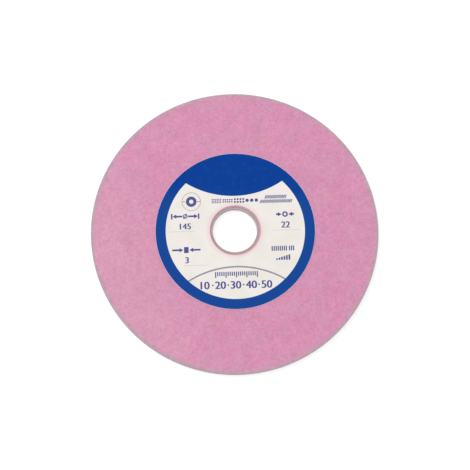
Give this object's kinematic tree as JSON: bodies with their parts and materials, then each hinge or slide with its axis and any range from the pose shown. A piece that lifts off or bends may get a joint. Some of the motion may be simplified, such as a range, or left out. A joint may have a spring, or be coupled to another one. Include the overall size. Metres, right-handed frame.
{
  "type": "chainsaw sharpening wheel",
  "caption": "Flat vitrified abrasive wheel with a plain bore and a glued paper label, clamped between flanges to grind the cutters of saw chain.",
  "frame": {"origin": "on the bore's axis, halfway through the abrasive's thickness", "axes": "+Z along the bore out of the labelled face, +Y towards the top of the label as it is read, +X to the right of the label"},
  "size_m": [0.145, 0.145, 0.0036],
  "materials": {
    "pink_abrasive": "rough, open-grained",
    "label_paper": "smooth, uncoated",
    "blue_ink": "printed, slightly glossy",
    "plain_blotter": "soft, uncoated",
    "dark_ink": "printed, matt",
    "grey_ink": "printed, matt"
  },
  "bodies": {
    "root": {"abrasive_wheel": "pink_abrasive", "front_label": "label_paper", "label_blue_print": "blue_ink", "back_blotter": "plain_blotter"}
  },
  "joints": []
}
